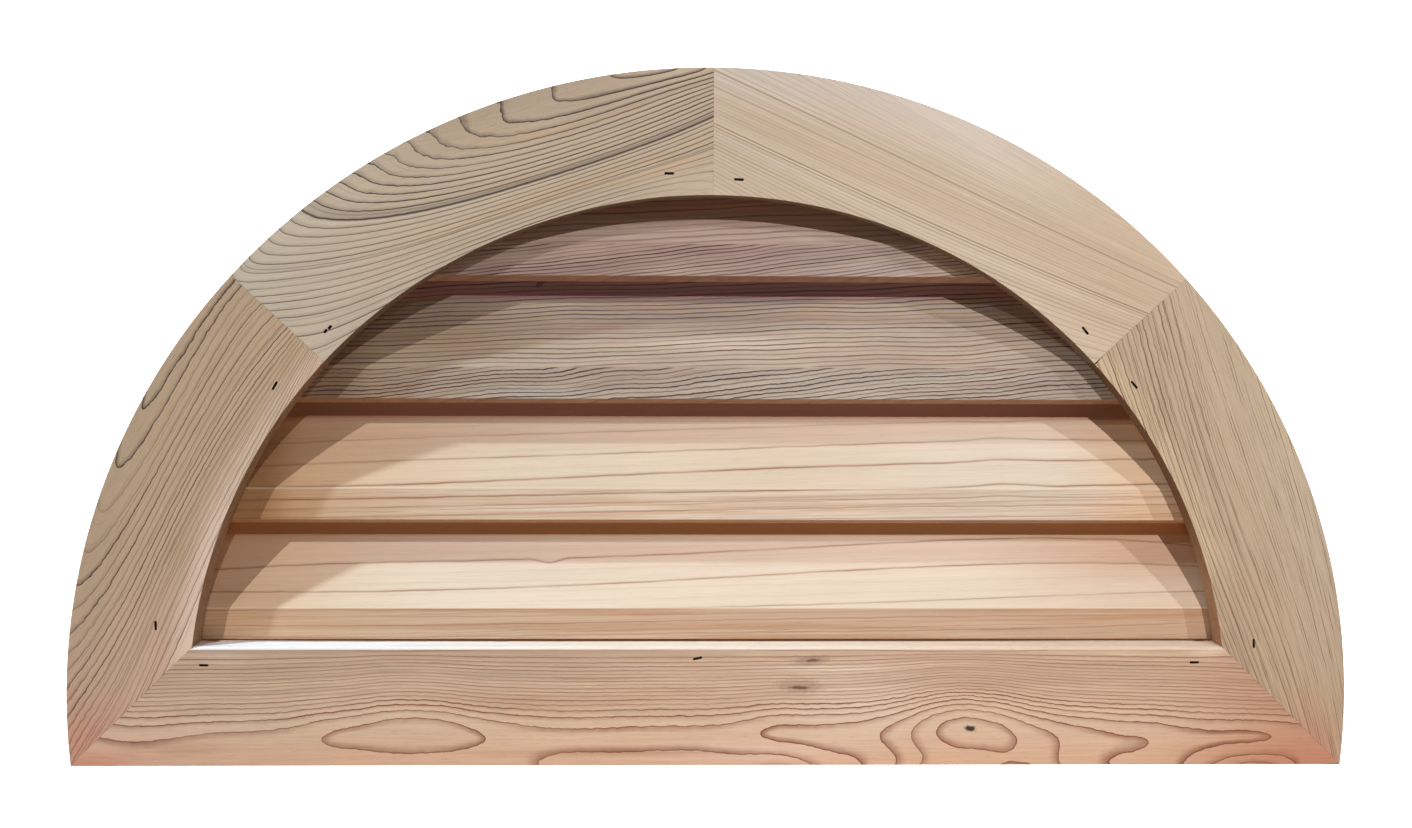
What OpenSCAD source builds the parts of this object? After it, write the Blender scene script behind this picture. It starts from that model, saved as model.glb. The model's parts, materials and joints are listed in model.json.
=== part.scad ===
// Half-round louvered gable vent in cedar.
// Five mitred trim boards carry a half-round sleeve, and four sloping
// louver blades span the sleeve. All sizes are in millimetres.
// +X is to the right, +Y runs back into the wall, +Z is up. The origin is
// the centre of the arch, on the back face of the trim.

/* [Front trim] */
// Radius of the visible opening inside the trim
opening_r = 382; // [340:1:400]
// Face width of every trim board
trim_w = 89; // [84:1:100]
// Thickness of the trim boards
trim_t = 19; // [16:1:24]
// Height of the arch centre above the bottom edge of the trim
centre_h = 34.5; // [30:0.5:38]
// Sideways offset of the crown joint from the middle
crown_shift = 1.5; // [-6:0.5:6]
// Angle of the two haunch joints above the horizontal
haunch_angle = 43.5; // [42:1:48]

/* [Rebate] */
// Width of the rebate behind the inner edge of the trim
rebate_w = 29; // [27:1:32]
// Depth of the rebate
rebate_d = 5; // [3:0.5:8]

/* [Sleeve] */
// Thickness of the sleeve, measured along the radius
sleeve_t = 19; // [15:1:20]
// Depth of the sleeve from front to back
sleeve_d = 52; // [51:1:64]
// Angle of the joints in the front layer of the arch
front_joint = 60; // [55:1:65]
// Angle of the joints in the back layer of the arch
back_joint = 45; // [40:1:50]

/* [Louver blades] */
// Height from one blade to the next
pitch = 90; // [87:0.5:93]
// Distance of the lowest blade's back corner below the rail's top edge
base_drop = 2.5; // [0:0.5:5]
// Slope of the blades from the horizontal, in degrees
slope = 67.5; // [65:0.5:70]
// Thickness of the blade boards
blade_t = 19; // [17:0.5:20]
// Width of the blade boards, along the slope
blade_w = 98; // [94:1:100]
// Width of the square edge left under the plumb-cut nose
nose_edge = 10; // [8:0.5:12]
// Gap between the blade noses and the back of the trim lip
nose_gap = 2; // [0.5:0.5:4]
// Clearance between the blade ends and the sleeve
end_gap = 0.3; // [0.2:0.1:0.6]

/* [Hidden] */
$fn = 180;

cedar_tan = [0.76, 0.65, 0.52];
cedar_cream = [0.82, 0.71, 0.57];
cedar_rose = [0.78, 0.62, 0.49];
cedar_grey = [0.66, 0.58, 0.49];

outer_r = opening_r + trim_w;          // outer edge of the trim
rail_top = trim_w - centre_h;          // top edge of the bottom rail
rail_bottom = -centre_h;               // bottom edge of the whole vent
sleeve_or = opening_r + rebate_w;      // outside of the sleeve
sleeve_ir = sleeve_or - sleeve_t;      // inside of the sleeve
sill_bottom = rail_top - rebate_w;     // underside of the sleeve sill
sill_top = sill_bottom + sleeve_t;     // upper face of the sleeve sill
sleeve_front = -rebate_d;
sleeve_back = sleeve_front + sleeve_d;
sleeve_mid = sleeve_front + sleeve_d / 2;
inner_corner = sqrt(opening_r * opening_r - rail_top * rail_top);
outer_corner = sqrt(outer_r * outer_r - rail_bottom * rail_bottom);
far = 2 * outer_r;
nose_y = sleeve_front + nose_gap;

// A flat outline drawn as X and Z, filled from depth y0 back to depth y1.
module slab(y0, y1) {
  translate([0, y1, 0]) rotate([90, 0, 0])
    linear_extrude(height = y1 - y0) children();
}

// A round bar along Y, about the arch centre.
module drum(r, y0, y1) {
  translate([0, y1, 0]) rotate([90, 0, 0])
    cylinder(r = r, h = y1 - y0);
}

// A half-round ring between two radii.
module ring(ri, ro, y0, y1) {
  difference() {
    drum(ro, y0, y1);
    drum(ri, y0 - 1, y1 + 1);
  }
}

// Outline of the wedge between two directions from the arch centre.
module wedge(a0, a1) {
  polygon([[0, 0], far * [cos(a0), sin(a0)],
    far * [cos((a0 + a1) / 2), sin((a0 + a1) / 2)] * 1.4,
    far * [cos(a1), sin(a1)]]);
}

// ---- front trim ----

// The pocket in the back of the trim that takes the front of the sleeve.
module rebate_pocket() {
  intersection() {
    drum(sleeve_or, sleeve_front, 1);
    slab(sleeve_front - 1, 2)
      translate([-far, sill_bottom]) square([2 * far, 2 * far]);
  }
}

// One curved board of the arch trim, inside the outline given as a child.
module arch_board() {
  difference() {
    intersection() {
      ring(opening_r, outer_r, -trim_t, 0);
      slab(-trim_t - 1, 1) children();
    }
    rebate_pocket();
  }
}

// Outline that holds the lower board of one side: from the haunch joint
// down to the mitre with the bottom rail. side is 1 right, -1 left.
module lower_outline(side) {
  m = [inner_corner, rail_top];
  n = [outer_corner, rail_bottom];
  h = [cos(haunch_angle), sin(haunch_angle)];
  polygon([for (p = [2 * m - n, 2 * n - m, [far, rail_bottom], far * h,
      0.75 * opening_r * h]) [side * p[0], p[1]]]);
}

// Outline of one upper board: from the haunch joint up to the crown joint.
module upper_outline(side) {
  h = far * [cos(haunch_angle), sin(haunch_angle)];
  polygon([[crown_shift, 0], [0, 0], [side * h[0], h[1]],
    [side * h[0], 2 * far], [crown_shift, 2 * far]]);
}

module bottom_rail() {
  color(cedar_rose) difference() {
    slab(-trim_t, 0)
      polygon([[-outer_corner, rail_bottom], [outer_corner, rail_bottom],
        [inner_corner, rail_top], [-inner_corner, rail_top]]);
    rebate_pocket();
  }
}

module trim_lower(side) {
  color(side < 0 ? cedar_tan : cedar_cream)
    arch_board() lower_outline(side);
}

module trim_upper(side) {
  color(side < 0 ? cedar_tan : cedar_cream)
    arch_board() upper_outline(side);
}

// ---- sleeve ----

module sleeve_sill() {
  color(cedar_rose) intersection() {
    drum(sleeve_or, sleeve_front, sleeve_back);
    slab(sleeve_front, sleeve_back)
      translate([-far, sill_bottom]) square([2 * far, sleeve_t]);
  }
}

// One curved block of the sleeve arch between two joint angles.
module sleeve_block(a0, a1, y0, y1) {
  color(cedar_tan) intersection() {
    ring(sleeve_ir, sleeve_or, y0, y1);
    slab(y0 - 1, y1 + 1) wedge(a0, a1);
    slab(y0 - 1, y1 + 1)
      translate([-far, sill_top]) square([2 * far, 2 * far]);
  }
}

// ---- louver blades ----

// Side profile of a blade, as depth and height above its lowest corner.
// Along the board is u, up the slope; across it is v, from the back face.
nose_v = nose_edge * sin(slope);
function blade_point(u, v) = [
  nose_y + nose_v + u * cos(slope) - v * sin(slope),
  u * sin(slope) + v * cos(slope)];
function blade_profile() = [
  blade_point(0, 0),
  blade_point(0, nose_edge),
  blade_point((blade_t - nose_edge) * tan(slope), blade_t),
  blade_point(blade_w, blade_t),
  blade_point(blade_w, 0)];

// k counts from the top blade, 1, to the bottom blade, 4.
module louver(k) {
  z = rail_top - base_drop + (4 - k) * pitch;
  color(k < 3 ? cedar_grey : cedar_cream) intersection() {
    translate([-outer_r, 0, z]) rotate([90, 0, 90])
      linear_extrude(height = 2 * outer_r) polygon(blade_profile());
    drum(sleeve_ir - end_gap, sleeve_front - 1, sleeve_back + 1);
  }
}

bottom_rail();
trim_lower(-1);  // trim_lower_left
trim_upper(-1);  // trim_upper_left
trim_upper(1);  // trim_upper_right
trim_lower(1);  // trim_lower_right
sleeve_sill();
sleeve_block(180 - front_joint, 180, sleeve_front, sleeve_mid);  // sleeve_front_left
sleeve_block(front_joint, 180 - front_joint, sleeve_front, sleeve_mid);  // sleeve_front_top
sleeve_block(0, front_joint, sleeve_front, sleeve_mid);  // sleeve_front_right
sleeve_block(180 - back_joint, 180, sleeve_mid, sleeve_back);  // sleeve_back_lower_left
sleeve_block(90, 180 - back_joint, sleeve_mid, sleeve_back);  // sleeve_back_upper_left
sleeve_block(back_joint, 90, sleeve_mid, sleeve_back);  // sleeve_back_upper_right
sleeve_block(0, back_joint, sleeve_mid, sleeve_back);  // sleeve_back_lower_right
louver(1);  // louver_1
louver(2);  // louver_2
louver(3);  // louver_3
louver(4);  // louver_4
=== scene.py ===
"""Half-round cedar gable vent: looks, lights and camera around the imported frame."""
import json
import math

import bmesh
import bpy
from mathutils import Matrix, Vector

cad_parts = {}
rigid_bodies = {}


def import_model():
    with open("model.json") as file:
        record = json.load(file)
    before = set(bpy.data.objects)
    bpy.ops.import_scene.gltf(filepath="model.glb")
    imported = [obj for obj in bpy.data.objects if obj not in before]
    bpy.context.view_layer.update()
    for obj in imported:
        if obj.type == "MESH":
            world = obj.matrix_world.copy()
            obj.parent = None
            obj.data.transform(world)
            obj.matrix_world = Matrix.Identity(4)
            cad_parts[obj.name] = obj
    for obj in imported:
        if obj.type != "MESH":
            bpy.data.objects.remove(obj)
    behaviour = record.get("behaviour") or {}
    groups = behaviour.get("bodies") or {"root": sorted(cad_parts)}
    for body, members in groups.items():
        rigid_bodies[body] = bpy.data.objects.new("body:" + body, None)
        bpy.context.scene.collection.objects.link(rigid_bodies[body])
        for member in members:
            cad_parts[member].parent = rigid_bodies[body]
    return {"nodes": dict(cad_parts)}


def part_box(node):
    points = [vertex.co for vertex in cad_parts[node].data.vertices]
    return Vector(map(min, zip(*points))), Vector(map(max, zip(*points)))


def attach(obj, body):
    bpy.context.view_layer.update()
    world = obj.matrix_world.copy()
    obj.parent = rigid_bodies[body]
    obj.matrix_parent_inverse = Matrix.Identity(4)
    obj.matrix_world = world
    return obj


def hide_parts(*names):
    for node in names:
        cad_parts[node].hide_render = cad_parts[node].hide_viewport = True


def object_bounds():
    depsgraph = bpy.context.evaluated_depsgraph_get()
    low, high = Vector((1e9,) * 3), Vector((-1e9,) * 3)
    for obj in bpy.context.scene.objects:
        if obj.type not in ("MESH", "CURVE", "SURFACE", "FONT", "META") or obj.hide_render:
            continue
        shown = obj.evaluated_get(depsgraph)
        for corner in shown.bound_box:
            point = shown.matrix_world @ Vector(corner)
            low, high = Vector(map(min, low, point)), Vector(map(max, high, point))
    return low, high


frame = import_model()
CAD_LO, CAD_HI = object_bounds()
N = frame["nodes"]
scene = bpy.context.scene
MM = 0.001

# sizes read from the frame, in millimetres
RAIL_LO, RAIL_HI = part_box("bottom_rail")
RAIL_TOP = RAIL_HI.z * 1000
FACE_Y = RAIL_LO.y * 1000
OUTER_R = CAD_HI.z * 1000
BLADE_Z = [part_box("louver_%d" % k)[0].z * 1000 for k in (1, 2, 3, 4)]
NOSE_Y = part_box("louver_4")[0].y * 1000
# height above a blade's lowest corner where its plumb-cut nose meets its slope
NOSE_H = 27.3


# ---------------------------------------------------------------- node maths
class Val:
    """A float running through a node tree, with Python's operators."""

    def __init__(self, tree, out):
        self.t, self.o = tree, out

    def _op(self, op, b=None, c=None, clamp=False):
        n = self.t.nodes.new("ShaderNodeMath")
        n.operation, n.use_clamp = op, clamp
        for i, v in enumerate((self, b, c)):
            if v is None:
                continue
            if isinstance(v, Val):
                self.t.links.new(v.o, n.inputs[i])
            else:
                n.inputs[i].default_value = float(v)
        return Val(self.t, n.outputs[0])

    def __add__(self, b):
        return self if isinstance(b, (int, float)) and b == 0 else self._op("ADD", b)

    __radd__ = __add__

    def __sub__(self, b):
        return self._op("SUBTRACT", b)

    def __rsub__(self, b):
        return (self * -1.0) + b

    def __mul__(self, b):
        return self if isinstance(b, (int, float)) and b == 1 else self._op("MULTIPLY", b)

    __rmul__ = __mul__

    def __truediv__(self, b):
        return self._op("MULTIPLY", 1.0 / b) if isinstance(b, (int, float)) else self._op("DIVIDE", b)

    def __neg__(self):
        return self * -1.0

    def mad(self, m, a):
        return self._op("MULTIPLY_ADD", m, a)

    def exp(self):
        return self._op("EXPONENT")

    def sq(self):
        return self._op("MULTIPLY", self)

    def abs(self):
        return self._op("ABSOLUTE")

    def fract(self):
        return self._op("FRACT")

    def floor(self):
        return self._op("FLOOR")

    def clamp(self):
        return self._op("ADD", 0.0, clamp=True)

    def pow(self, p):
        return self._op("POWER", p)

    def min(self, b):
        return self._op("MINIMUM", b)

    def max(self, b):
        return self._op("MAXIMUM", b)

    def sqrt(self):
        return self._op("SQRT")

    def sin(self):
        return self._op("SINE")

    def step(self, a, b, lo=0.0, hi=1.0, kind="SMOOTHSTEP"):
        """Runs from lo at a to hi at b."""
        n = self.t.nodes.new("ShaderNodeMapRange")
        n.interpolation_type = kind
        self.t.links.new(self.o, n.inputs["Value"])
        for name, v in (("From Min", a), ("From Max", b), ("To Min", lo), ("To Max", hi)):
            if isinstance(v, Val):
                self.t.links.new(v.o, n.inputs[name])
            else:
                n.inputs[name].default_value = float(v)
        return Val(self.t, n.outputs["Result"])


def scaled(v, centre, width):
    return v.mad(1.0 / width, -centre / width)


def horner(v, coef):
    """coef[0] + coef[1] v + coef[2] v v and so on. A coefficient is a number or a Val."""
    acc = coef[-1]
    for c in reversed(coef[:-1]):
        acc = v._op("MULTIPLY_ADD", acc, c)
    return acc


def gauss(u, centre, width):
    return (-(scaled(u, centre, width).sq())).exp()


def gauss2(x, z, cx, cz, wx, wz):
    return (-(scaled(x, cx, wx).sq() + scaled(z, cz, wz).sq())).exp()


def ridge(u, width):
    """1 where u is 0, falling off on both sides."""
    return (-((u / width).sq())).exp()


class Mat:
    """A material being built, with its object coordinates in millimetres."""

    def __init__(self, name):
        self.m = bpy.data.materials.new(name)
        self.m.use_nodes = True
        self.t = self.m.node_tree
        self.t.nodes.clear()
        self.out = self.t.nodes.new("ShaderNodeOutputMaterial")
        self.b = self.t.nodes.new("ShaderNodeBsdfPrincipled")
        self.t.links.new(self.b.outputs[0], self.out.inputs["Surface"])
        tc = self.t.nodes.new("ShaderNodeTexCoord")
        sc = self.t.nodes.new("ShaderNodeVectorMath")
        sc.operation = "SCALE"
        sc.inputs["Scale"].default_value = 1000.0
        self.t.links.new(tc.outputs["Object"], sc.inputs[0])
        sep = self.t.nodes.new("ShaderNodeSeparateXYZ")
        self.t.links.new(sc.outputs[0], sep.inputs[0])
        self.x, self.y, self.z = (Val(self.t, sep.outputs[i]) for i in range(3))
        self._r = None

    def r(self):
        """Distance from the arch centre."""
        if self._r is None:
            self._r = (self.x.sq() + self.z.sq()).sqrt()
        return self._r

    def vec(self, a, b, c):
        n = self.t.nodes.new("ShaderNodeCombineXYZ")
        for i, v in enumerate((a, b, c)):
            if isinstance(v, Val):
                self.t.links.new(v.o, n.inputs[i])
            else:
                n.inputs[i].default_value = float(v)
        return n.outputs[0]

    def noise(self, a, b=None, c=None, detail=2.0, rough=0.5):
        n = self.t.nodes.new("ShaderNodeTexNoise")
        if b is None:
            n.noise_dimensions = "1D"
            self.t.links.new(a.o, n.inputs["W"])
        else:
            n.noise_dimensions = "3D" if c is not None else "2D"
            self.t.links.new(self.vec(a, b, 0.0 if c is None else c), n.inputs["Vector"])
        n.inputs["Scale"].default_value = 1.0
        n.inputs["Detail"].default_value = detail
        n.inputs["Roughness"].default_value = rough
        return Val(self.t, n.outputs[0])

    def white(self, a):
        n = self.t.nodes.new("ShaderNodeTexWhiteNoise")
        n.noise_dimensions = "1D"
        self.t.links.new(a.o, n.inputs["W"])
        return Val(self.t, n.outputs["Value"])

    def mix(self, f, a, b):
        """Colours a and b mixed by f. Each is an output socket or an sRGB triple of 0..255."""
        n = self.t.nodes.new("ShaderNodeMix")
        n.data_type, n.blend_type = "RGBA", "MIX"
        n.clamp_factor = True
        for sock, v in ((n.inputs[0], f), (n.inputs[6], a), (n.inputs[7], b)):
            if isinstance(v, Val):
                self.t.links.new(v.o, sock)
            elif isinstance(v, bpy.types.NodeSocket):
                self.t.links.new(v, sock)
            elif isinstance(v, (int, float)):
                sock.default_value = float(v)
            else:
                sock.default_value = (*lin(v), 1.0)
        return n.outputs[2]

    def times(self, col, val):
        n = self.t.nodes.new("ShaderNodeVectorMath")
        n.operation = "SCALE"
        self.t.links.new(col, n.inputs[0])
        self.t.links.new(val.o, n.inputs["Scale"])
        return n.outputs[0]

    def link(self, out, sock):
        self.t.links.new(out.o if isinstance(out, Val) else out, sock)


class Moved:
    """A material's coordinates with x and z changed, for reading a ring field elsewhere."""

    def __init__(self, m, x, z):
        self.m, self.x, self.z, self._r = m, x, z, None

    def r(self):
        if self._r is None:
            self._r = (self.x.sq() + self.z.sq()).sqrt()
        return self._r

    def __getattr__(self, name):
        return getattr(self.m, name)


def lin(c):
    """sRGB 0..255 to linear."""
    return [((v / 255 + 0.055) / 1.055) ** 2.4 if v > 10.3 else v / 255 / 12.92 for v in c]


# ---------------------------------------------------------------- growth rings
# A ring field gives the growth-ring number at a point: each whole number is the
# sharp outer edge of a ring's dark latewood. Boards sawn near the bark side show
# hooks and ovals, which the fields follow. Each is a smooth formula in x and z,
# carried through the board's thickness by a small slope in y.
DEPTH = 0.09


def field(cx, cz, L, M, deg, coef, lams=(), pull=0.0):
    """A polynomial of the given degree, and terms that rise towards the outer arc.
    pull draws the pattern near that arc outwards by so many mm."""
    def ring(m):
        if pull:
            k = (m.r() - OUTER_R).step(-55, -4, 0.0, -pull) / m.r() + 1.0
            m = Moved(m, m.x * k, m.z * k)
        X, Z = scaled(m.x, cx, L), scaled(m.z, cz, M)
        c, rows = list(coef), []
        for i in range(deg + 1):
            n = deg + 1 - i
            rows.append(horner(X, c[:n]) if n > 1 else c[0])
            c = c[n:]
        F = horner(Z, rows)
        for lam in lams:
            e = ((m.r() - OUTER_R) / lam).exp()
            F = e._op("MULTIPLY_ADD", horner(X, c[:3]), F)
            c = c[3:]
        return m.y.mad(DEPTH, F - FACE_Y * DEPTH)
    return ring


RING_UL = field(-170, 370, 170, 100, 5, (
    15.4, 15.09, 13.68, -7.45, -13.47, 0.71,
    -29.97, -22.37, 13.4, 30.42, 9.6,
    5.33, -14.1, -10.71, -8.89,
    12.79, -9.2, -8.09,
    8.79, 1.88,
    3.81,
    -1.53, 1.32, 3.48,
    1.01, -5.23, -3.34), (5, 13))

RING_LL = field(-400, 150, 90, 170, 5, (
    8.52, 25.89, 8.06, -28.58, 10.61, 9.88,
    -24.51, -14.63, 48.21, -0.2, -17.37,
    3.0, -34.68, -21.07, -10.55,
    10.15, 24.5, 12.7,
    -6.64, 8.01,
    -5.72,
    6.66, -0.81, -13.49), (16,), pull=8.0)

RING_UR = field(170, 370, 170, 100, 3, (
    14.97, -29.84, -6.6, -2.75,
    -40.55, -14.91, 6.64,
    -6.1, 28.59,
    18.57))

RING_LR = field(400, 150, 90, 170, 4, (
    -2.46, -13.7, 1.55, -13.85, -5.1,
    -10.38, 3.45, -19.94, 1.15,
    1.86, -13.84, 11.43,
    -3.12, 8.93,
    1.77))

# the rail is sawn flat, so its rings swell and close into ovals along its length:
# centre and width of each swelling, then its factors of 1, Z, Z Z, Z Z Z
RAIL_BASE = (7.29, 9.49, 8.61, -1.39, -3.39, -0.16)
RAIL_SWELL = (
    (-420, 45, 1.38, 0.94, -1.31, -0.8), (-340, 50, 0.86, 1.19, -0.85, -1.01),
    (-275, 28, -0.49, 0.84, 0.52, -0.77), (-235, 28, -1.39, -0.43, 1.16, 0.56),
    (-200, 28, -1.25, 0.19, 1.17, -0.15), (-165, 28, -0.2, 0.62, 0.16, -0.53),
    (-100, 45, 0.34, 0.62, -0.03, -0.87), (-20, 50, 0.11, 0.53, 0.3, -0.87),
    (50, 28, -0.89, 0.67, 1.27, -0.99), (95, 30, -0.84, 0.71, 0.69, -0.56),
    (135, 26, -1.39, 0.2, 0.88, 0.22), (165, 24, -2.79, -0.18, 1.67, 1.19),
    (190, 22, -3.09, 0.09, 2.1, 0.71), (215, 22, -2.7, 0.44, 1.54, 0.68),
    (242, 24, -1.62, 1.07, 0.35, 0.11), (275, 28, -1.02, 1.3, 0.29, -0.62),
    (320, 34, -0.68, 1.47, 0.05, -0.82), (365, 36, -0.13, 0.8, 0.08, -0.59),
    (410, 36, 0.22, 2.62, -0.27, -3.77), (450, 45, 0.26, 0.33, 1.08, 1.45))


def RING_RAIL(m):
    Z = scaled(m.z, 10, 40)
    F = horner(Z, RAIL_BASE)
    for c, w, *k in RAIL_SWELL:
        F = gauss(m.x, c, w)._op("MULTIPLY_ADD", horner(Z, k), F)
    return m.y.mad(0.05, F - FACE_Y * 0.05)


def straight(angle, pitch, depth=0.35, off=0.0, wave=0.0):
    """Straight grain at an angle in degrees, pitch mm a ring."""
    c, s = math.cos(math.radians(angle)), math.sin(math.radians(angle))

    def ring(m):
        F = (m.z * c - m.x * s + m.y * depth) / pitch + off
        if wave:
            F = F + (m.noise(m.x * 0.011, m.z * 0.02, off + 4.1, detail=1.0) - 0.5) * wave
        return F
    return ring


def axis(angle):
    """Distances along and across a board whose grain lies at an angle in degrees."""
    c, s = math.cos(math.radians(angle)), math.sin(math.radians(angle))
    return (lambda m: m.x * c + m.z * s), (lambda m: m.z * c - m.x * s + m.y * 0.4)


# ---------------------------------------------------------------- cedar
def cedar(name, ring, angle, early, late, seed=0.0, line=0.6, core=0.9, grad=0.35, vary=0.6, pitch=None,
          strength=None, heavy=(), sub=(2.0, 0.0), sub_where=None, reach=5.5, tint=(), late_tint=(), fibre=0.14, fine=0.07, tone=0.06,
          rough=0.62, bump=1.0, wiggle=0.05, jag=None, follow=0.0, soft=None, lines=(), spots=(), pockets=(), over=()):
    """Planed cedar.
    ring(m) is the growth-ring number at a point, pitch its spacing in mm where that is even.
    line is how dark the latewood is, core the width in mm of its dark edge and grad how
    much of the darkness builds up slowly before it, over at most reach mm. strength(m)
    scales it by place. heavy rings are (ring number, width in mm, strength), sub is a
    finer set of rings, kept to where sub_where(m) is 1.
    tint is a list of (mask(m), colour, amount) under the grain, over the same above it
    and late_tint the same for the latewood's colour.
    jag(m) is how far in mm small waves push the rings about.
    soft(m) is where the slow build-up is stronger.
    lines are single dark rings: (height(m), width, strength, seed).
    spots are knots: (x, z, half length, half height, angle, colour, strength)."""
    m = Mat(name)
    F0 = ring(m)
    if pitch:
        per_mm = m.x * 0.0 + 1.0 / pitch
    else:
        dx = (ring(Moved(m, m.x + 0.5, m.z)) - F0) * 2.0
        dz = (ring(Moved(m, m.x, m.z + 0.5)) - F0) * 2.0
        per_mm = (dx.sq() + dz.sq()).sqrt().max(0.02)
    along, across = (f(m) for f in axis(angle))
    # the rings waver a little along the board
    F = F0 + (m.noise(F0 * 0.35, along * 0.014, seed, detail=3.0, rough=0.6) - 0.5) * (2.0 * wiggle)
    m.F, m.per_mm = F, per_mm
    if jag:
        F = F + (m.noise(m.x * 0.15, m.z * 0.15, seed, detail=2.5) - 0.5) * jag(m) * per_mm
    m.F = F
    cell, p = F.floor(), F.fract()
    rnd = m.white(cell + (seed + 0.5))
    rnd2 = m.white(cell * 1.7 + (seed + 9.5))
    # latewood: rises slowly through the ring, ends sharply at the next
    d = (p * -1.0 + 1.0) / per_mm
    w = (per_mm / 0.36).pow(-1.0).min(core)
    u = d / w
    rise = (p.step(0.25, 0.96) * d.step(0.0, reach, 1.0, 0.0)) * (soft(m).mad(0.45, grad) if soft else grad)
    rise = (rise + u.step(0.6, 1.3, 1.0, 0.0) * (1 - grad)).min(1.0)
    late_f = rise * d.step(0.0, 0.28)
    patch = m.noise(F0 * 0.9, along * 0.011, seed + 3.3, detail=2.0).mad(1.3, 0.35).min(1.15)
    late_f = late_f * rnd.mad(vary, 1.0 - vary) * patch * line
    if strength:
        late_f = late_f * strength(m)
    if sub[1]:
        G = F * sub[0] + m.noise(F0 * 1.3, along * 0.02, seed + 4.9, detail=2.0) * 0.8
        dq = (G.fract() * -1.0 + 1.0) / (per_mm * sub[0])
        fade = m.noise(G * 0.7, along * 0.02, seed + 2.2, detail=2.0).step(0.36, 0.62)
        if sub_where:
            fade = fade * sub_where(m)
        late_f = late_f.max(dq.step(0.35, 1.0, 1.0, 0.0) * dq.step(0.0, 0.25)
                            * m.white(G.floor() + (seed + 2.5)).mad(0.8, 0.2) * fade * sub[1])
    for at, width, amount in heavy:
        late_f = late_f.max(ridge((F - at) / per_mm, width) * amount)
    # fibres along the board, and fibres that follow the rings
    across_f = across + F0 * follow if follow else across
    fib = m.noise(across_f * 0.55, along * 0.012, seed + 7.7, detail=4.0, rough=0.72)
    fib2 = m.noise(across_f * 1.5, along * 0.05, seed + 1.1, detail=2.0, rough=0.6)
    pore = m.noise(across_f * 1.3, along * 0.10, seed + 6.4, detail=1.0).step(0.62, 0.75)
    band = m.noise(F * 0.45, along * 0.003, seed + 5.1, detail=2.0)
    blot = m.noise(m.x * 0.012, m.y * 0.03, m.z * 0.016 + seed, detail=2.0)
    for height, width, amount, wobble in lines:
        d = height(m) - m.z + (m.noise(m.x * 0.03, seed + 2.0 + wobble, detail=2.0) - 0.5) * 1.4
        soft = d.step(-width * 4.0, 0.0, 0.0, 0.22) * d.step(0.0, width, 1.0, 0.0)
        a = m.noise(m.x * 0.012, seed + 8.0 + wobble, detail=2.0).mad(1.3, 0.12).min(0.95)
        late_f = late_f.max((ridge(d, width) * 0.85 + soft) * a * amount)
    base = early
    for mask, c, amount in tint:
        base = m.mix((mask(m) * amount).clamp(), base, c)
    for mask, c, amount in late_tint:
        late = m.mix((mask(m) * amount).clamp(), late, c)
    col = m.mix(late_f.clamp(), base, late)
    val = ((fib - 0.5) * (2.0 * fibre) + (fib2 - 0.5) * (2.0 * fine) - pore * fine
           + (band - 0.5) * (2.4 * tone) + (blot - 0.5) * (1.3 * tone)
           + (rnd2 - 0.5) * (0.5 * tone) + 1.0)
    for mask, c, amount in over:
        col = m.mix((mask(m) * amount).clamp(), col, c)
    col = m.times(col, val)
    for kx, kz, a, b, ang, c, amount in spots:
        t = math.radians(ang)
        dx, dz = m.x - kx, m.z - kz
        d = (((dx * math.cos(t) + dz * math.sin(t)) / a).sq() + ((dz * math.cos(t) - dx * math.sin(t)) / b).sq()).sqrt()
        d = d + (m.noise(m.x * 0.35, m.z * 0.35, kx, detail=2.0) - 0.5) * 0.9
        col = m.mix(d.step(0.5, 1.35, amount, 0.0), col, c)
    for sx, sz in pockets:
        # painted shade: the inside of a staple's slot is given a near-black colour
        inside = (gauss2(m.x, m.z, sx, sz, 5, 5).step(0.3, 0.5) * m.y.step(FACE_Y + 0.08, FACE_Y + 0.4)
                  * m.y.step(FACE_Y + 2.5, FACE_Y + 4, 1.0, 0.0))
        col = m.mix(inside, col, (34, 24, 18))
    m.link(col, m.b.inputs["Base Color"])
    m.link((fib.mad(0.16, rough - 0.08) - late_f * 0.08).clamp(), m.b.inputs["Roughness"])
    m.b.inputs["Specular IOR Level"].default_value = 0.25
    bp = m.t.nodes.new("ShaderNodeBump")
    bp.inputs["Strength"].default_value = 0.35
    bp.inputs["Distance"].default_value = 0.0002 * bump
    m.link(late_f * 0.8 + fib * 0.7 + fib2 * 0.35 - pore * 0.3, bp.inputs["Height"])
    m.link(bp.outputs[0], m.b.inputs["Normal"])
    return m.m


# ---------------------------------------------------------------- the staples' places
# x and z of each slot's middle, its angle in degrees, board, and whether a bridge
# of wood still covers the middle of the wire
STAPLES = (
    ("upper_left_crown", -30, 397, 0, "trim_upper_left", False),
    ("upper_right_crown", 19.5, 393, -3, "trim_upper_right", False),
    ("upper_left_haunch", -274, 286, 41, "trim_upper_left", True),
    ("lower_left_haunch", -312.8, 245.5, 59, "trim_lower_left", False),
    ("lower_left_foot", -403.8, 70.5, 90, "trim_lower_left", False),
    ("rail_left", -370, 41, 0, "bottom_rail", False),
    ("rail_middle", -9, 46, 14, "bottom_rail", False),
    ("rail_right", 358, 42.8, 0, "bottom_rail", False),
    ("lower_right_foot", 401.5, 57, 93, "trim_lower_right", False),
    ("upper_right_haunch", 269.8, 286.7, -50, "trim_upper_right", False),
    ("lower_right_haunch", 306.6, 247.7, -49, "trim_lower_right", False))


def slots_of(node):
    return tuple((s[1], s[2]) for s in STAPLES if s[4] == node)


# ---------------------------------------------------------------- materials
INNER_R = OUTER_R - 89.0      # the trim boards are 89 mm wide


def rim(m):
    """1 at the outer arc, falling to 0 some 45 mm inside it."""
    return (m.r() - OUTER_R).step(-45, 0)


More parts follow.
